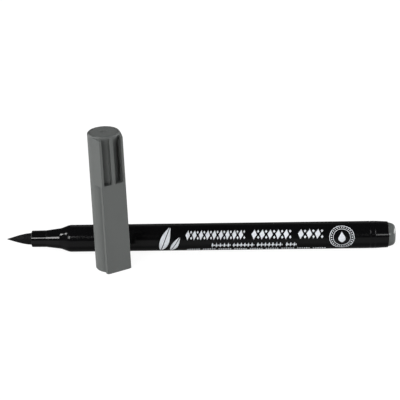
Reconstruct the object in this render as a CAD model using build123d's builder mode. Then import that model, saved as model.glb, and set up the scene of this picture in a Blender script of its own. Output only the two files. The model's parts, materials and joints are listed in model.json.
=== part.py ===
from build123d import *
import os
from math import acos, atan2, cos, hypot, radians, sin

# A calligraphy marker with a soft brush tip. The pen lies along X with its tip towards -X, and its
# cap stands on its open end beside it. Millimetres, +Z up. Both rest on the plane Z = 0, and the
# origin is the middle of the bottom of the box round the two of them.
# Pen parts are drawn as (distance back from the tip's point, radius) and turned about the pen's axis.
# Cap parts are drawn in the cap's own plane, whose -Y side is the flat panel.

# ---- driving dimensions: pen ----
PEN_LENGTH = 142.5      # point of the brush tip to the end of the tail plug
BARREL_R = 5.0
BORE_R = 4.15           # inside of the barrel
TAIL_R = 4.78           # barrel radius at its tail end
COLLAR_X = 9.3          # front face of the glossy collar
CONE_X = 14.8           # end of the collar, start of the cone
SHOULDER_X = 19.9       # end of the cone, front face of the barrel
BARREL_X = 24.0         # end of the shoulder, start of the plain barrel
BARREL_END_X = 140.0
COLLAR_R = 3.05
CONE_R = 3.8            # cone radius at the barrel's front face
SPIGOT_R = 3.2          # the part of the front section that plugs into the barrel
SPIGOT_END_X = 30.4
RING_XS = (133.4, 135.1)  # fine rings near the tail

# ---- driving dimensions: brush tip and ink feed ----
BALL_X = 9.9            # centre about which the tip flexes
BALL_R = 2.2
CORE_R = 1.22
CORE_X = 12.0
CORE_END_X = 44.0
FILLER_X = 32.0
FILLER_END_X = 132.5
FILLER_R = 3.4
FILM = 0.2
FIT = 0.03              # gap between pieces that slide together when they are put together

# ---- driving dimensions: cap ----
CAP_HEIGHT = 51.6
CAP_R = 5.93            # at the open end
CAP_DRAFT = 0.28        # degrees
CAP_BORE_R = 5.06       # slides over the barrel
CAP_BORE_DEPTH = 24.8
LINER_BORE_R = 3.65
LINER_BORE_TOP = 49.1
PANEL_Y = 6.2           # from the cap's axis to its flat panel
PANEL_HALF = 4.65
PANEL_CORNER_R = 0.4
PANEL_BACK_Y = 5.1      # back of the panel's overhanging edges
POCKET_BOTTOM = 34.0
RIB_HALF = 0.65
WALL_INNER = 3.66       # inner face of the walls beside the pockets
POCKET_CORE_R = 4.3     # round floor of the pockets
TOP_R = 5.38            # flat disc on top
RIM_R = 5.7             # foot of the bevel round the disc
RIM_Z = CAP_HEIGHT - 0.4
SHOULDER_R = 2.3        # rounding of the block's top
GROOVE_TOP = 33.7       # top end of the grooves behind the panel's edges

# ---- places ----
CAP_FROM_TIP = 39.93    # along the pen
CAP_FROM_AXIS = 11.96   # in front of the pen's axis
CAP_TURN = 31.0         # degrees that the panel faces round from -Y towards +X

turn = radians(CAP_TURN)
cap_front_reach = ((PANEL_Y - PANEL_CORNER_R) * cos(turn)
                   + (PANEL_HALF - PANEL_CORNER_R) * sin(turn) + PANEL_CORNER_R)
PEN_Y = (CAP_FROM_AXIS + cap_front_reach - BARREL_R) / 2
TIP_POINT = (-PEN_LENGTH / 2, PEN_Y, BARREL_R)
CAP_POINT = (TIP_POINT[0] + CAP_FROM_TIP, PEN_Y - CAP_FROM_AXIS, 0)

PEN_PROFILE = Plane(origin=TIP_POINT, x_dir=(1, 0, 0), z_dir=(0, -1, 0))
PEN_CROSS = Plane(origin=TIP_POINT, x_dir=(0, 1, 0), z_dir=(1, 0, 0))
PEN_AXIS = Axis(TIP_POINT, (1, 0, 0))
CAP_FLOOR = Plane(origin=CAP_POINT, x_dir=(cos(turn), sin(turn), 0), z_dir=(0, 0, 1))
CAP_PROFILE = Plane(origin=CAP_POINT, x_dir=(cos(turn), sin(turn), 0), z_dir=(sin(turn), -cos(turn), 0))
CAP_AXIS = Axis(CAP_POINT, (0, 0, 1))


def ring_cut(x, radius, width=0.3, depth=0.1):
    """Three points of a fine V groove round a turned part."""
    return [(x - width / 2, radius), (x, radius - depth), (x + width / 2, radius)]


# ---- barrel: a moulded tube with a rounded shoulder, two fine rings and a slight taper at the tail ----
FRONT_EDGE_R = 3.82     # the shoulder starts almost level with the cone
NECK_END_X = 26.0       # end of the narrow neck that takes the front section
NECK_RAMP = 1.2         # length of the slope from the neck out to the bore
TAIL_EDGE_R = 0.4       # rounding of the barrel's tail end
RIB_COUNT = 6
RIB_X = 31.5
RIB_LENGTH = 101.0
RIB_WIDTH = 0.7
RIB_REACH = 0.45        # how far the ribs stand in from the bore, leaving air space round the film
with BuildPart() as barrel:
    with BuildSketch(PEN_PROFILE):
        with BuildLine():
            Bezier((SHOULDER_X, FRONT_EDGE_R), (21.2, 4.0), (22.4, BARREL_R), (BARREL_X, BARREL_R))
            Polyline((BARREL_X, BARREL_R), *ring_cut(RING_XS[0], BARREL_R), *ring_cut(RING_XS[1], BARREL_R),
                     (BARREL_END_X - TAIL_EDGE_R, TAIL_R))
            RadiusArc((BARREL_END_X - TAIL_EDGE_R, TAIL_R), (BARREL_END_X, TAIL_R - TAIL_EDGE_R),
                      TAIL_EDGE_R)
            Polyline((BARREL_END_X, TAIL_R - TAIL_EDGE_R), (BARREL_END_X, BORE_R),
                     (NECK_END_X + NECK_RAMP, BORE_R), (NECK_END_X, SPIGOT_R + FIT),
                     (SHOULDER_X, SPIGOT_R + FIT), (SHOULDER_X, FRONT_EDGE_R))
        make_face()
    revolve(axis=PEN_AXIS)
    with BuildSketch(PEN_CROSS.offset(RIB_X)):
        with PolarLocations(BORE_R, RIB_COUNT):
            Rectangle(2 * RIB_REACH, RIB_WIDTH)
    extrude(amount=RIB_LENGTH)
barrel.part.label = "barrel"

# ---- front section: glossy collar and cone, with a spigot that plugs into the barrel ----
MOUTH_R = 2.45          # socket round the root of the brush tip
MOUTH_END_X = 11.9
MOUTH_CHAMFER = 0.35
SLEEVE_R = 2.0          # bore for the tip holder
LIP_R = 0.25
COLLAR_END_R = 3.09
SEAM_STEP = 0.05        # the step between the collar and the cone
SPIGOT_CHAMFER = 0.4
with BuildPart() as front_section:
    with BuildSketch(PEN_PROFILE):
        with BuildLine():
            Line((COLLAR_X, MOUTH_R + MOUTH_CHAMFER), (COLLAR_X, COLLAR_R - LIP_R))
            RadiusArc((COLLAR_X, COLLAR_R - LIP_R), (COLLAR_X + LIP_R, COLLAR_R), LIP_R)
            Polyline((COLLAR_X + LIP_R, COLLAR_R), (CONE_X, COLLAR_END_R),
                     (CONE_X + SEAM_STEP, COLLAR_END_R + SEAM_STEP), (SHOULDER_X, CONE_R),
                     (SHOULDER_X, SPIGOT_R), (SPIGOT_END_X - SPIGOT_CHAMFER, SPIGOT_R),
                     (SPIGOT_END_X, SPIGOT_R - SPIGOT_CHAMFER), (SPIGOT_END_X, SLEEVE_R),
                     (MOUTH_END_X, SLEEVE_R), (MOUTH_END_X, MOUTH_R), (COLLAR_X + MOUTH_CHAMFER, MOUTH_R),
                     (COLLAR_X, MOUTH_R + MOUTH_CHAMFER))
        make_face()
    revolve(axis=PEN_AXIS)
front_section.part.label = "front_section"

# ---- tip holder: a sleeve round the wick, with grooves that let air back to the reservoir ----
FLANGE_R = 2.6
FLANGE_END_X = SPIGOT_END_X + 0.8
AIR_GROOVES = 3
AIR_GROOVE_DEPTH = 0.35
AIR_GROOVE_WIDTH = 0.6
with BuildPart() as tip_holder:
    with BuildSketch(PEN_PROFILE):
        with BuildLine():
            Polyline((CORE_X, CORE_R + FIT), (CORE_X, SLEEVE_R - FIT), (SPIGOT_END_X, SLEEVE_R - FIT),
                     (SPIGOT_END_X, FLANGE_R), (FLANGE_END_X, FLANGE_R), (FLANGE_END_X, CORE_R + FIT),
                     close=True)
        make_face()
    revolve(axis=PEN_AXIS)
    with BuildSketch(PEN_CROSS.offset(CORE_X)):
        with PolarLocations(SLEEVE_R, AIR_GROOVES):
            Rectangle(2 * AIR_GROOVE_DEPTH, AIR_GROOVE_WIDTH)
    extrude(amount=SPIGOT_END_X - CORE_X, mode=Mode.SUBTRACT)
tip_holder.part.label = "tip_holder"

# ---- brush tip: a soft tapered felt brush whose rounded root sits in the collar ----
POINT_R = 0.16
NECK_TO_BALL = 0.6      # the felt meets the ball this far ahead of the ball's centre
BALL_FLAT = 1.6         # from the ball's centre back to its flat
ball_front = BALL_X - NECK_TO_BALL
ball_front_r = (BALL_R ** 2 - (BALL_X - ball_front) ** 2) ** 0.5
ball_flat_r = (BALL_R ** 2 - BALL_FLAT ** 2) ** 0.5
with BuildPart() as brush_tip:
    with BuildSketch(PEN_PROFILE):
        with BuildLine():
            point = RadiusArc((0, 0), (POINT_R, POINT_R), POINT_R)
            Spline(point @ 1, (3.4, 1.165), (6.4, 1.86), (ball_front, ball_front_r),
                   tangents=((1, 0.45), (1, 0.12)))
            ThreePointArc((ball_front, ball_front_r), (BALL_X, BALL_R), (BALL_X + BALL_FLAT, ball_flat_r))
            Polyline((BALL_X + BALL_FLAT, ball_flat_r), (BALL_X + BALL_FLAT, 0), (0, 0))
        make_face()
    revolve(axis=PEN_AXIS)
brush_tip.part.label = "brush_tip"

# ---- feed core: the fibre wick behind the brush tip ----
CORE_CHAMFER = 0.5
with BuildPart() as feed_core:
    with BuildSketch(PEN_CROSS.offset(CORE_X)):
        Circle(CORE_R)
    extrude(amount=CORE_END_X - CORE_X)
    chamfer(feed_core.edges().sort_by(Axis.X)[-1], length=CORE_CHAMFER)
feed_core.part.label = "feed_core"

# ---- reservoir: a fibre filler with a blind hole for the wick, and the film round it ----
WICK_CLEARANCE = 0.3    # between the wick's end and the bottom of its hole
with BuildPart() as reservoir:
    with BuildSketch(PEN_CROSS.offset(FILLER_X)):
        Circle(FILLER_R)
    extrude(amount=FILLER_END_X - FILLER_X)
    with BuildSketch(PEN_CROSS.offset(FILLER_X)):
        Circle(CORE_R + FIT)
    extrude(amount=CORE_END_X + WICK_CLEARANCE - FILLER_X, mode=Mode.SUBTRACT)
reservoir.part.label = "reservoir"

with BuildPart() as reservoir_wrap:
    with BuildSketch(PEN_CROSS.offset(FILLER_X)):
        Circle(FILLER_R + FIT + FILM)
        Circle(FILLER_R + FIT, mode=Mode.SUBTRACT)
    extrude(amount=FILLER_END_X - FILLER_X)
reservoir_wrap.part.label = "reservoir_wrap"

# ---- tail plug: a rounded head on a hollow skirt that presses into the barrel ----
SKIRT_X = 134.0
SKIRT_R = BORE_R - FIT
SKIRT_WALL = 0.8
SKIRT_LEAD = 0.6        # length of the skirt's tapered end
SKIRT_LEAD_DEPTH = 0.3
HEAD_R = 4.42
HEAD_WALL = 0.5
END_FLAT_R = 2.7
DISH_R = 1.7            # shallow dish in the plug's end
DISH_DEPTH = 0.25
with BuildPart() as tail_plug:
    with BuildSketch(PEN_PROFILE):
        with BuildLine():
            Bezier((BARREL_END_X, HEAD_R), (141.1, 4.2), (142.4, 3.9), (PEN_LENGTH, END_FLAT_R))
            Polyline((PEN_LENGTH, END_FLAT_R), (PEN_LENGTH, DISH_R),
                     (PEN_LENGTH - DISH_DEPTH, DISH_R - DISH_DEPTH), (PEN_LENGTH - DISH_DEPTH, 0),
                     (BARREL_END_X - HEAD_WALL, 0), (BARREL_END_X - HEAD_WALL, SKIRT_R - SKIRT_WALL),
                     (SKIRT_X, SKIRT_R - SKIRT_WALL), (SKIRT_X, SKIRT_R - SKIRT_LEAD_DEPTH),
                     (SKIRT_X + SKIRT_LEAD, SKIRT_R), (BARREL_END_X, SKIRT_R), (BARREL_END_X, HEAD_R))
        make_face()
    revolve(axis=PEN_AXIS)
tail_plug.part.label = "tail_plug"

# ---- cap pockets: the space cut out each side of the rib, over a round floor that rises to the top ----
FLOOR_BEND_Z = 46.0     # where the floor starts to rise
FLOOR_TOP_R = RIM_R - 0.1
POCKET_REACH = 10.0     # beyond the panel
pocket_width = WALL_INNER - RIB_HALF
pocket_mid = (WALL_INNER + RIB_HALF) / 2
with BuildPart() as pocket_space:
    with BuildSketch(CAP_FLOOR.offset(POCKET_BOTTOM)):
        with Locations((pocket_mid, -POCKET_REACH / 2), (-pocket_mid, -POCKET_REACH / 2)):
            Rectangle(pocket_width, POCKET_REACH)
    extrude(amount=CAP_HEIGHT)
    with BuildSketch(CAP_PROFILE):
        with BuildLine():
            Polyline((0, 0), (POCKET_CORE_R, 0), (POCKET_CORE_R, FLOOR_BEND_Z))
            Bezier((POCKET_CORE_R, FLOOR_BEND_Z), (POCKET_CORE_R, 49.0), (FLOOR_TOP_R, 50.0), (RIM_R, RIM_Z))
            Polyline((RIM_R, RIM_Z), (RIM_R, 2 * CAP_HEIGHT), (0, 2 * CAP_HEIGHT), (0, 0))
        make_face()
    revolve(axis=CAP_AXIS, mode=Mode.SUBTRACT)

# ---- cap shell: round, with a flat-fronted block that keeps the pen from rolling ----
BLOCK_REACH = 8.1       # beyond the block's corners
FOOT_ROUND = 1.3        # rounding of the block's corners at the foot
GROOVE_WIDTH = 6.0
GROOVE_OUT = 6.2        # middle of each groove's cutter
FOOT_BEVEL = 0.3
MOUTH_LEAD = 0.3        # chamfer at the mouth of the bore
BORE_STEP = 1.1
BORE_STEP_Z = CAP_BORE_DEPTH + 3.0
MARK_R = 1.45           # shallow ring sunk in the middle of the disc
MARK_WIDTH = 0.9
MARK_DEPTH = 0.15
RIM_GROOVE_R = 5.0      # fine groove just inside the disc's edge
RIM_GROOVE_WIDTH = 0.35
# the block's sides run from the panel's corners to where they touch the round part
corner_angle = atan2(PANEL_HALF, PANEL_Y)
touch_angle = corner_angle + acos(CAP_R / hypot(PANEL_HALF, PANEL_Y))
touch_x, touch_y = CAP_R * sin(touch_angle), CAP_R * cos(touch_angle)
with BuildPart() as cap_shell:
    with BuildSketch(CAP_FLOOR):
        with BuildLine():
            FilletPolyline((-touch_x, -touch_y), (-PANEL_HALF, -PANEL_Y), (PANEL_HALF, -PANEL_Y),
                           (touch_x, -touch_y), radius=PANEL_CORNER_R)
            Line((touch_x, -touch_y), (-touch_x, -touch_y))
        make_face()
    extrude(amount=CAP_HEIGHT, taper=CAP_DRAFT)
    chamfer(cap_shell.faces().sort_by(Axis.Z)[0].edges(), length=FOOT_BEVEL)
    with BuildSketch(CAP_FLOOR):
        with Locations((GROOVE_OUT, -PANEL_BACK_Y / 2), (-GROOVE_OUT, -PANEL_BACK_Y / 2)):
            Rectangle(GROOVE_WIDTH, PANEL_BACK_Y)
    extrude(amount=GROOVE_TOP, mode=Mode.SUBTRACT)
    with BuildSketch(CAP_FLOOR):
        Circle(CAP_R)
    extrude(amount=CAP_HEIGHT, taper=CAP_DRAFT)
    with BuildSketch(CAP_PROFILE):
        with BuildLine():
            Line((0, 0), (BLOCK_REACH - FOOT_ROUND, 0))
            RadiusArc((BLOCK_REACH - FOOT_ROUND, 0), (BLOCK_REACH, FOOT_ROUND), -FOOT_ROUND)
            Polyline((BLOCK_REACH, FOOT_ROUND), (BLOCK_REACH, RIM_Z - SHOULDER_R),
                     (RIM_R + SHOULDER_R, RIM_Z - SHOULDER_R))
            RadiusArc((RIM_R + SHOULDER_R, RIM_Z - SHOULDER_R), (RIM_R, RIM_Z), -SHOULDER_R)
            Polyline((RIM_R, RIM_Z), (TOP_R, CAP_HEIGHT), (0, CAP_HEIGHT), (0, 0))
        make_face()
    revolve(axis=CAP_AXIS, mode=Mode.INTERSECT)
    add(pocket_space.part, mode=Mode.SUBTRACT)
    with BuildSketch(CAP_PROFILE):
        with BuildLine():
            Polyline((0, -1), (CAP_BORE_R + MOUTH_LEAD, -1), (CAP_BORE_R + MOUTH_LEAD, 0),
                     (CAP_BORE_R, MOUTH_LEAD), (CAP_BORE_R, CAP_BORE_DEPTH),
                     (CAP_BORE_R - BORE_STEP, BORE_STEP_Z), (LINER_BORE_R, BORE_STEP_Z + 0.5),
                     (LINER_BORE_R, LINER_BORE_TOP), (0, LINER_BORE_TOP), close=True)
        make_face()
    revolve(axis=CAP_AXIS, mode=Mode.SUBTRACT)
    with BuildSketch(CAP_FLOOR.offset(CAP_HEIGHT)):
        Circle(RIM_GROOVE_R)
        Circle(RIM_GROOVE_R - RIM_GROOVE_WIDTH, mode=Mode.SUBTRACT)
        Circle(MARK_R)
        Circle(MARK_R - MARK_WIDTH, mode=Mode.SUBTRACT)
    extrude(amount=-MARK_DEPTH, mode=Mode.SUBTRACT)
cap_shell.part.label = "cap_shell"

# ---- inner cap: a thin liner that seals round the collar ----
LINER_Z = 31.6
SEAL_R = 3.03           # grips the collar
SEAL_Z = 34.0
SEAL_END_Z = 36.0
LINER_WALL = 0.5
LINER_ROOF_Z = LINER_BORE_TOP - 0.7
liner_r = LINER_BORE_R - FIT
with BuildPart() as inner_cap:
    with BuildSketch(CAP_PROFILE):
        with BuildLine():
            Polyline((liner_r, LINER_Z), (liner_r, LINER_BORE_TOP), (0, LINER_BORE_TOP), (0, LINER_ROOF_Z),
                     (liner_r - LINER_WALL, LINER_ROOF_Z), (liner_r - LINER_WALL, SEAL_END_Z + 0.4),
                     (SEAL_R, SEAL_END_Z), (SEAL_R, SEAL_Z), (liner_r - 0.15, LINER_Z), close=True)
        make_face()
    revolve(axis=CAP_AXIS)
inner_cap.part.label = "inner_cap"

os.makedirs("parts", exist_ok=True)
for piece in (barrel, front_section, tip_holder, brush_tip, feed_core, reservoir, reservoir_wrap,
              tail_plug, cap_shell, inner_cap):
    export_step(piece.part, f"parts/{piece.part.label}.step")
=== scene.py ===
import json
import math

import bpy
from mathutils import Matrix, Vector


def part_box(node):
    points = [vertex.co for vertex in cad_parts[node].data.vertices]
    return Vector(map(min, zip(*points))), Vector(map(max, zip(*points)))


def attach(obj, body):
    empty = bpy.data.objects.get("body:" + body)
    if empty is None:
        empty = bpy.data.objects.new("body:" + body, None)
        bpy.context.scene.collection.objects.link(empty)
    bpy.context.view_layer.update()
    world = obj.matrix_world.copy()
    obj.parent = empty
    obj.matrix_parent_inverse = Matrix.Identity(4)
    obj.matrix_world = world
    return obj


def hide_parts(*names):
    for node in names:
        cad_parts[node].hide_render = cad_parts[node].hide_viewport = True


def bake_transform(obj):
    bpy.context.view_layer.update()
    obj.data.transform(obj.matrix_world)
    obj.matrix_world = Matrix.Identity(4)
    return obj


# A calligraphy marker with a brush tip, lying beside its standing cap. Metres, in the CAD frame.
# Lengths along the pen are given in millimetres back from the point of the brush tip.

MM = 0.001
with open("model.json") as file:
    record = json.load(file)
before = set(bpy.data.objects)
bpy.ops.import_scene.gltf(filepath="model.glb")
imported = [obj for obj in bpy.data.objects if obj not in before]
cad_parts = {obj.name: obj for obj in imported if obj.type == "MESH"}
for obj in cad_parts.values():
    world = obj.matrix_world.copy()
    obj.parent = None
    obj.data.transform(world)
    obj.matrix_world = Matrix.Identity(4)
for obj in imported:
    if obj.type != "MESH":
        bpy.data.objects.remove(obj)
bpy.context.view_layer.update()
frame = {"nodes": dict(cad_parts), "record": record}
nodes = frame["nodes"]

# ---- places, read from the frame ----
tip_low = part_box("brush_tip")[0]
barrel_low, barrel_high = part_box("barrel")
PEN_R = (barrel_high.z - barrel_low.z) / 2
POINT = Vector((tip_low.x, (barrel_low.y + barrel_high.y) / 2, (barrel_low.z + barrel_high.z) / 2))


# ---- node helpers ----
def add_node(tree, kind, **settings):
    """A new node. Settings are its own properties, or its inputs by name."""
    node = tree.nodes.new(kind)
    for name, value in settings.items():
        if name in node.inputs:
            node.inputs[name].default_value = value
        else:
            setattr(node, name, value)
    return node


def start_material(name, base, roughness, specular):
    """A material, its node tree and shader, and the place on the piece that its patterns follow."""
    material = bpy.data.materials.new(name)
    material.use_nodes = True
    tree = material.node_tree
    shader = tree.nodes["Principled BSDF"]
    shader.inputs["Base Color"].default_value = (*base, 1)
    shader.inputs["Roughness"].default_value = roughness
    shader.inputs["Specular IOR Level"].default_value = specular
    place = add_node(tree, "ShaderNodeTexCoord").outputs["Object"]
    return material, tree, shader, place


def stretched(tree, place, scale):
    """The place, with each axis scaled, so that a pattern can run along one axis."""
    mapping = add_node(tree, "ShaderNodeMapping")
    mapping.inputs["Scale"].default_value = scale
    tree.links.new(place, mapping.inputs["Vector"])
    return mapping.outputs["Vector"]


def noise(tree, place, size, detail=3.0, roughness=0.5):
    """Noise whose features are about that size, in millimetres."""
    node = add_node(tree, "ShaderNodeTexNoise", Scale=1 / (size * MM), Detail=detail, Roughness=roughness)
    tree.links.new(place, node.inputs["Vector"])
    return node.outputs["Fac"]


def remap(tree, value, low, high, to_low, to_high):
    """The value, taken smoothly from the range low to high into the range to_low to to_high."""
    node = add_node(tree, "ShaderNodeMapRange", interpolation_type="SMOOTHSTEP")
    for socket, number in (("From Min", low), ("From Max", high), ("To Min", to_low), ("To Max", to_high)):
        node.inputs[socket].default_value = number
    tree.links.new(value, node.inputs["Value"])
    return node.outputs["Result"]


def combine(tree, operation, first, second):
    node = add_node(tree, "ShaderNodeMath", operation=operation)
    for socket, value in zip(node.inputs, (first, second)):
        if isinstance(value, (int, float)):
            socket.default_value = value
        else:
            tree.links.new(value, socket)
    return node.outputs[0]


def tinted(tree, shader, factor, dark, light):
    """Colours the shader from dark to light as the factor goes from 0 to 1."""
    mix = add_node(tree, "ShaderNodeMix", data_type="RGBA")
    for socket in mix.inputs:
        if socket.type == "RGBA" and socket.name == "A":
            socket.default_value = (*dark, 1)
        if socket.type == "RGBA" and socket.name == "B":
            socket.default_value = (*light, 1)
    tree.links.new(factor, mix.inputs["Factor"])
    colour = [socket for socket in mix.outputs if socket.type == "RGBA"][0]
    tree.links.new(colour, shader.inputs["Base Color"])


def bumped(tree, shader, height, depth):
    """Raises the surface by the height, whose range of 1 stands for the depth in millimetres."""
    bump = add_node(tree, "ShaderNodeBump", Strength=1.0, Distance=depth * MM)
    tree.links.new(height, bump.inputs["Height"])
    tree.links.new(bump.outputs["Normal"], shader.inputs["Normal"])


def scaled(colour, factor):
    return tuple(channel * factor for channel in colour)


# ---- materials: sizes and depths of their patterns in millimetres ----
def moulded_plastic(name, base, roughness, specular, grain=0.12, grain_depth=0.002, wear=1.0):
    """Moulded plastic: a fine spark-eroded grain, slow flow marks, and light scuffs that catch the light."""
    material, tree, shader, place = start_material(name, base, roughness, specular)
    grain_height = noise(tree, place, grain, detail=2.0)
    flow = noise(tree, place, 9.0, detail=2.0)
    scuffs = noise(tree, stretched(tree, place, (1.0, 0.22, 1.6)), 1.1, detail=5.0, roughness=0.7)
    scuffed = remap(tree, scuffs, 0.56, 0.72, 0.0, 1.0)
    tinted(tree, shader, combine(tree, "ADD", combine(tree, "MULTIPLY", flow, 0.7),
                                 combine(tree, "MULTIPLY", scuffed, 0.3 * wear)),
           scaled(base, 0.93), scaled(base, 1.1))
    rough = combine(tree, "ADD", remap(tree, flow, 0.3, 0.7, roughness - 0.03, roughness + 0.03),
                    combine(tree, "MULTIPLY", scuffed, 0.07 * wear))
    tree.links.new(rough, shader.inputs["Roughness"])
    bumped(tree, shader, combine(tree, "ADD", grain_height, combine(tree, "MULTIPLY", scuffed, 0.15 * wear)),
           grain_depth)
    return material


def felt(name, base):
    """Bonded felt soaked with ink: fine fibres along the pen, with loose ends and damp patches."""
    material, tree, shader, place = start_material(name, base, 0.8, 0.12)
    shader.inputs["Sheen Weight"].default_value = 0.04
    shader.inputs["Sheen Roughness"].default_value = 0.5
    fibres = noise(tree, stretched(tree, place, (0.16, 1.0, 1.0)), 0.09, detail=4.0, roughness=0.6)
    clumps = noise(tree, place, 0.35, detail=4.0, roughness=0.65)
    damp = noise(tree, place, 2.4, detail=2.0)
    mixed = combine(tree, "ADD", combine(tree, "MULTIPLY", fibres, 0.6),
                    combine(tree, "MULTIPLY", clumps, 0.4))
    tinted(tree, shader, remap(tree, mixed, 0.34, 0.66, 0.0, 1.0), scaled(base, 0.55), scaled(base, 1.5))
    tree.links.new(remap(tree, damp, 0.35, 0.65, 0.62, 0.9), shader.inputs["Roughness"])
    bumped(tree, shader, mixed, 0.05)
    return material


def printed_ink(name, base):
    """Thin pad-printed ink: slightly uneven cover, with pinholes and a soft gloss."""
    material, tree, shader, place = start_material(name, base, 0.45, 0.4)
    cover = noise(tree, place, 0.5, detail=4.0, roughness=0.6)
    pinholes = noise(tree, place, 0.12, detail=2.0)
    even = combine(tree, "ADD", combine(tree, "MULTIPLY", cover, 0.6),
                   combine(tree, "MULTIPLY", pinholes, 0.4))
    tinted(tree, shader, remap(tree, even, 0.36, 0.58, 0.0, 1.0), scaled(base, 0.84), scaled(base, 1.05))
    tree.links.new(remap(tree, cover, 0.3, 0.7, 0.38, 0.55), shader.inputs["Roughness"])
    bumped(tree, shader, even, 0.004)
    return material


def clear_film(name, base):
    """Thin wrapping film with faint creases along the pen."""
    material, tree, shader, place = start_material(name, base, 0.2, 0.5)
    creases = noise(tree, stretched(tree, place, (0.1, 1.0, 1.0)), 0.8, detail=3.0)
    tinted(tree, shader, creases, scaled(base, 0.9), base)
    tree.links.new(remap(tree, creases, 0.3, 0.7, 0.12, 0.3), shader.inputs["Roughness"])
    bumped(tree, shader, creases, 0.02)
    return material


MATERIALS = {
    "black_plastic": moulded_plastic("black_plastic", (0.004, 0.004, 0.0044), 0.12, 0.17,
                                     grain_depth=0.0003),
    "gloss_black_plastic": moulded_plastic("gloss_black_plastic", (0.004, 0.004, 0.0044), 0.08, 0.26,
                                           grain=0.6, grain_depth=0.0001, wear=0.3),
    "grey_plastic": moulded_plastic("grey_plastic", (0.117, 0.1235, 0.12), 0.5, 0.3, grain_depth=0.003),
    "plug_plastic": moulded_plastic("plug_plastic", (0.116, 0.125, 0.121), 0.2, 0.5, grain_depth=0.001),
    "brush_felt": felt("brush_felt", (0.003, 0.003, 0.0032)),
    "ink_fibre": felt("ink_fibre", (0.02, 0.02, 0.03)),
    "film": clear_film("film", (0.75, 0.77, 0.78)),
    "inner_plastic": moulded_plastic("inner_plastic", (0.68, 0.7, 0.68), 0.45, 0.4),
    "print_white": printed_ink("print_white", (0.8, 0.83, 0.87)),
}


def finish_with(piece, slot):
    """Gives the piece the material of that name and no other."""
    piece.data.materials.clear()
    piece.data.materials.append(MATERIALS[slot])


for subpart in frame["record"]["subparts"]:
    finish_with(nodes[subpart["node"]], subpart["material_slot"])
# The tail plug is the cap's grey, but more polished.
finish_with(nodes["tail_plug"], "plug_plastic")


# ---- mesh helpers ----
def new_piece(name, verts, faces, slot, smooth=True):
    mesh = bpy.data.meshes.new(name)
    mesh.from_pydata(verts, [], faces)
    mesh.validate()
    piece = bpy.data.objects.new(name, mesh)
    bpy.context.scene.collection.objects.link(piece)
    for polygon in mesh.polygons:
        polygon.use_smooth = smooth
    finish_with(piece, slot)
    return piece


def turned(name, profile, slot, around=96):
    """A piece turned about the pen's axis. The profile is a list of (millimetres from the tip, radius)."""
    verts, faces = [], []
    for x, radius in profile:
        for step in range(around):
            angle = 2 * math.pi * step / around
            verts.append(POINT + Vector((x, math.cos(angle) * radius, math.sin(angle) * radius)) * MM)
    for row in range(len(profile) - 1):
        for step in range(around):
            after = (step + 1) % around
            faces.append((row * around + step, row * around + after,
                          (row + 1) * around + after, (row + 1) * around + step))
    faces.append(tuple(range(around))[::-1])
    faces.append(tuple((len(profile) - 1) * around + step for step in range(around)))
    return new_piece(name, verts, faces, slot)


# ---- brush tip: one soft felt brush, rooted in the collar ----
def felt_radius(x):
    """Radius of the felt, millimetres, at x millimetres from its point: a full round brush."""
    point, root = 0.12, 2.2
    length = 10.0
    return point + (root - point) * math.sin(math.pi / 2 * min(x / length, 1)) ** 1.08


def make_felt():
    """The brush, with a blunt point, turned about the pen's axis from its point to 11 mm back."""
    rows = 70
    blunt_x, root_x = 0.2, 11.0
    profile = [(0.0, 0.02), (0.03, 0.1), (0.09, 0.16)]
    for row in range(rows + 1):
        x = blunt_x + (root_x - blunt_x) * (row / rows) ** 1.1
        profile.append((x, felt_radius(x)))
    brush = turned("felt_brush", profile, "brush_felt", around=72)
    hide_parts("brush_tip")
    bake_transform(brush)


make_felt()


# ---- print on the barrel: a plain ornament of leaves, diamonds, dashes and rings, with no letters ----
PRINT_LIFT = 0.02    # how far the ink stands proud of the barrel, millimetres
PRINT_SINK = 0.03    # how far its underside reaches into the barrel


def on_barrel(x, arc, lift):
    """The place x millimetres from the point and arc millimetres up round the barrel from its front line.
    Lift is its height above the barrel, in millimetres."""
    angle = arc * MM / PEN_R
    reach = PEN_R + lift * MM
    return POINT + Vector((x * MM, -math.cos(angle) * reach, math.sin(angle) * reach))


def add_stroke(shapes, path, width, rows=20, columns=4):
    """Adds one stroke of ink. The path gives (x, arc) and the width its width, both from 0 to 1 along it."""
    verts, faces = shapes
    first = len(verts)
    for lift in (PRINT_LIFT, -PRINT_SINK):
        for row in range(rows + 1):
            along = row / rows
            x, arc = path(along)
            before, after = Vector(path(max(along - 0.01, 0))), Vector(path(min(along + 0.01, 1)))
            run = (after - before).normalized()
            for column in range(columns + 1):
                side = (column / columns - 0.5) * max(width(along), 0.02)
                verts.append(on_barrel(x - run.y * side, arc + run.x * side, lift))
    across = columns + 1
    under = across * (rows + 1)
    for row in range(rows):
        for column in range(columns):
            corner = first + row * across + column
            faces.append((corner, corner + 1, corner + across + 1, corner + across))
    rim = list(range(across))
    rim += [row * across + columns for row in range(1, rows + 1)]
    rim += [rows * across + column for column in range(columns - 1, -1, -1)]
    rim += [row * across for row in range(rows - 1, 0, -1)]
    for here, there in zip(rim, rim[1:] + rim[:1]):
        faces.append((first + here, first + under + here, first + under + there, first + there))


def add_bar(shapes, start, end, width, blunt=6):
    """A straight stroke with rounded ends."""
    def path(along):
        return start[0] + (end[0] - start[0]) * along, start[1] + (end[1] - start[1]) * along

    def profile(along):
        return width * (1 - abs(2 * along - 1) ** blunt) ** 0.5

    add_stroke(shapes, path, profile, rows=10, columns=2)


def add_ring(shapes, centre, radius, width):
    """A closed ring of even width."""
    def path(along):
        angle = 2 * math.pi * along
        return centre[0] + math.cos(angle) * radius, centre[1] + math.sin(angle) * radius

    add_stroke(shapes, path, lambda along: width, rows=72, columns=2)


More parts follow.
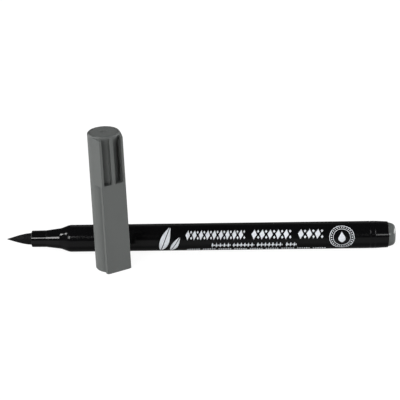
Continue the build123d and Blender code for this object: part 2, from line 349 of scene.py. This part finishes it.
def print_piece(name, shapes):
    """Makes one piece of ink, which rides on the pen, from the strokes added to the shapes."""
    piece = new_piece(name, shapes[0], shapes[1], "print_white", smooth=False)
    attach(piece, "pen")


def add_diamond(shapes, x, arc, breadth, height):
    """The diamond that a broad nib leaves when it is set down at an angle."""
    lean = 0.12

    def path(along):
        rise = height * (along - 0.5)
        return x + lean * rise, arc + rise

    def profile(along):
        return breadth * (1 - abs(2 * along - 1)) ** 1.1

    add_stroke(shapes, path, profile, rows=12, columns=4)


def add_half_leaf(shapes, base, tip, breadth, side):
    """One half of a leaf, beside a midrib from the base to the tip that is left bare."""
    midrib_half = 0.14
    run = Vector(tip) - Vector(base)
    across = Vector((run.y, -run.x)).normalized() * side

    def profile(along):
        return breadth * math.sin(math.pi * along ** 0.85)

    def path(along):
        return Vector(base) + run * along + across * (midrib_half + profile(along) / 2)

    add_stroke(shapes, path, profile, rows=36, columns=5)


def make_leaves():
    """Two plain leaves, drawn with a broad brush, that reach round the barrel."""
    shapes = ([], [])
    for base, tip, breadth in (((57.0, -3.7), (60.6, 6.1), 1.5), ((60.6, -3.8), (64.2, 2.2), 1.0)):
        for side in (-1, 1):
            add_half_leaf(shapes, base, tip, breadth, side)
    print_piece("print_leaves", shapes)


def make_main_row():
    """A row of large diamonds in three groups, with small ones between them."""
    shapes = ([], [])
    row_arc, height = 2.85, 3.7
    small_offset, small_height = 1.1, 1.2
    for start, end, count in ((66.1, 87.8, 9), (90.0, 104.5, 5), (106.8, 116.0, 3)):
        pitch = (end - start) / count
        for number in range(count):
            middle = start + pitch * (number + 0.42)
            add_diamond(shapes, middle, row_arc, 0.68 * pitch, height)
            for arc in (row_arc - small_offset, row_arc + small_offset):
                add_diamond(shapes, middle + 0.5 * pitch, arc, 0.3 * pitch, small_height)
    print_piece("print_main_row", shapes)


def make_small_row():
    """A row of small diamonds and short dashes, under the large ones."""
    shapes = ([], [])
    row_arc = -1.2
    for start, end, count in ((75.6, 82.8, 5), (83.4, 91.3, 6), (92.1, 101.6, 7), (102.6, 106.7, 3)):
        pitch = (end - start) / count
        for number in range(count):
            left = start + pitch * number
            add_diamond(shapes, left + 0.42, row_arc, 0.85, 2.2)
            add_bar(shapes, (left + 0.9, row_arc), (left + 1.25, row_arc), 0.6)
    print_piece("print_small_row", shapes)


def make_fine_row():
    """A fine line of dashes, lowest on the barrel, with a gap after every six."""
    shapes = ([], [])
    start, end, count = 66.6, 117.3, 62
    row_arc = -3.5
    for number in range(count):
        left = start + (end - start) * number / count
        if number % 7 != 6:
            add_bar(shapes, (left + 0.08, row_arc), (left + 0.66, row_arc), 0.7)
    print_piece("print_fine_row", shapes)


def make_seal():
    """Two thin rings with a ring of beads between them, round a drop of ink."""
    shapes = ([], [])
    centre = (122.9, 1.4)
    add_ring(shapes, centre, 4.4, 0.24)
    add_ring(shapes, centre, 3.1, 0.18)
    beads = 28
    bead_from, bead_to = 3.5, 4.05
    for bead in range(beads):
        angle = 2 * math.pi * bead / beads
        outward = (math.cos(angle), math.sin(angle))
        add_bar(shapes, (centre[0] + outward[0] * bead_from, centre[1] + outward[1] * bead_from),
                (centre[0] + outward[0] * bead_to, centre[1] + outward[1] * bead_to), 0.36, blunt=2)

    drop_top, drop_length = 2.2, 4.1

    def path(along):
        return centre[0], centre[1] + drop_top - drop_length * along

    def drop(along):
        return 2.6 * math.sin(math.pi * along ** 1.7) ** 0.75

    add_stroke(shapes, path, drop, rows=30, columns=8)
    print_piece("print_seal", shapes)


make_leaves()
make_main_row()
make_small_row()
make_fine_row()
make_seal()


# ---- floor, light and camera ----
FLOOR_GLOW = 0.94


def make_stage_piece(name, verts, faces):
    """A pale glowing surface that the camera sees, and that neither lights the object nor shows in it."""
    mesh = bpy.data.meshes.new(name)
    mesh.from_pydata(verts, [], faces)
    piece = bpy.data.objects.new(name, mesh)
    bpy.context.scene.collection.objects.link(piece)
    material, _, shader, _ = start_material(name, (0.15, 0.15, 0.15), 0.9, 0.0)
    shader.inputs["Emission Color"].default_value = (1, 1, 1, 1)
    shader.inputs["Emission Strength"].default_value = FLOOR_GLOW
    mesh.materials.append(material)
    piece.visible_diffuse = False
    piece.visible_glossy = False
    return piece


def make_floor():
    """A plain pale floor. Light that reaches the object from below comes from the world's lower half."""
    size = 6.0
    corners = [(-size, -size, 0), (size, -size, 0), (size, size, 0), (-size, size, 0)]
    make_stage_piece("floor", corners, [(0, 1, 2, 3)])


def make_backdrop():
    """A pale dome over the floor, for views from low down."""
    radius = 5.5
    around, rows = 64, 16
    verts, faces = [], []
    for row in range(rows):
        rise = math.pi / 2 * row / rows
        for step in range(around):
            turn = 2 * math.pi * step / around
            verts.append((radius * math.cos(rise) * math.cos(turn),
                          radius * math.cos(rise) * math.sin(turn),
                          radius * math.sin(rise)))
    for row in range(rows - 1):
        for step in range(around):
            after = (step + 1) % around
            faces.append((row * around + step, row * around + after,
                          (row + 1) * around + after, (row + 1) * around + step))
    faces.append(tuple((rows - 1) * around + step for step in range(around)))
    make_stage_piece("backdrop", verts, faces).visible_shadow = False


def soft_box(name, azimuth, elevation, width, height, radiance):
    """A soft box that faces the frame's origin, with its place and size as angles seen from there.
    Azimuth 0 is straight in front, from -Y, and grows towards +X."""
    distance = 1.2
    az, el = math.radians(azimuth), math.radians(elevation)
    away = Vector((math.sin(az) * math.cos(el), -math.cos(az) * math.cos(el), math.sin(el)))
    light = bpy.data.lights.new(name, "AREA")
    light.shape = "RECTANGLE"
    light.size = 2 * distance * math.tan(math.radians(width / 2))
    light.size_y = 2 * distance * math.tan(math.radians(height / 2))
    light.energy = radiance * math.pi * light.size * light.size_y
    lamp = bpy.data.objects.new(name, light)
    lamp.location = away * distance
    lamp.rotation_euler = (-away).to_track_quat("-Z", "Y").to_euler()
    lamp.visible_camera = False
    bpy.context.scene.collection.objects.link(lamp)


def make_world():
    """Dim overhead, and bright below, as from a pale table, but less so in the object's own shade."""
    world = bpy.data.worlds.new("studio")
    bpy.context.scene.world = world
    world.use_nodes = True
    tree = world.node_tree
    background = tree.nodes["Background"]
    background.inputs["Color"].default_value = (1, 1, 1, 1)
    direction = add_node(tree, "ShaderNodeTexCoord").outputs["Generated"]
    split = add_node(tree, "ShaderNodeSeparateXYZ")
    tree.links.new(direction, split.inputs["Vector"])
    below = remap(tree, split.outputs["Z"], -0.95, -0.6, 0.18, 0.62)
    above = remap(tree, split.outputs["Z"], -0.02, 0.06, 1.0, 0.035)
    tree.links.new(combine(tree, "MULTIPLY", below, above), background.inputs["Strength"])


def make_lights():
    """Soft boxes, placed so that the highlights on the plastic fall where the photo shows them."""
    soft_box("left_box", -96, 16, 50, 32, 3.9)
    soft_box("front_strip", -25.5, 32.5, 17, 16, 16.0)
    soft_box("front_spot", -75, 45.5, 12, 8, 34.0)
    soft_box("right_box", 101, 12, 44, 22, 9.2)
    soft_box("right_strip", 25, 23.5, 24, 9, 9.0)
    soft_box("back_box", 180, 31, 30, 16, 0.5)


# The camera was fitted to the outlines of the pen and the cap. Its angles are in degrees.
CAMERA_AZ, CAMERA_EL, CAMERA_ROLL = -2.64, 24.62, -1.91
CAMERA_DISTANCE = 434.75 * MM
CAMERA_LENS = 108
SENSOR_WIDTH = 36
LOOK_AT = Vector((0.54 * MM, POINT.y, 19.82 * MM))


def make_camera():
    """The camera at the photograph's angle, in front of the pen and above it."""
    az, el, roll = (math.radians(value) for value in (CAMERA_AZ, CAMERA_EL, CAMERA_ROLL))
    forward = Vector((math.sin(az) * math.cos(el), math.cos(az) * math.cos(el), -math.sin(el)))
    level = forward.cross(Vector((0, 0, 1))).normalized()
    upright = level.cross(forward)
    right = math.cos(roll) * level + math.sin(roll) * upright
    up = -math.sin(roll) * level + math.cos(roll) * upright
    camera = bpy.data.objects.new("camera", bpy.data.cameras.new("camera"))
    camera.data.lens = CAMERA_LENS
    camera.data.sensor_width = SENSOR_WIDTH
    camera.data.clip_start = 0.01
    camera.matrix_world = Matrix.Translation(LOOK_AT - forward * CAMERA_DISTANCE) @ Matrix(
        (right, up, -forward)).transposed().to_4x4()
    bpy.context.scene.collection.objects.link(camera)
    bpy.context.scene.camera = camera


make_floor()
make_backdrop()
make_world()
make_lights()
make_camera()
bpy.context.scene.view_settings.view_transform = "Standard"
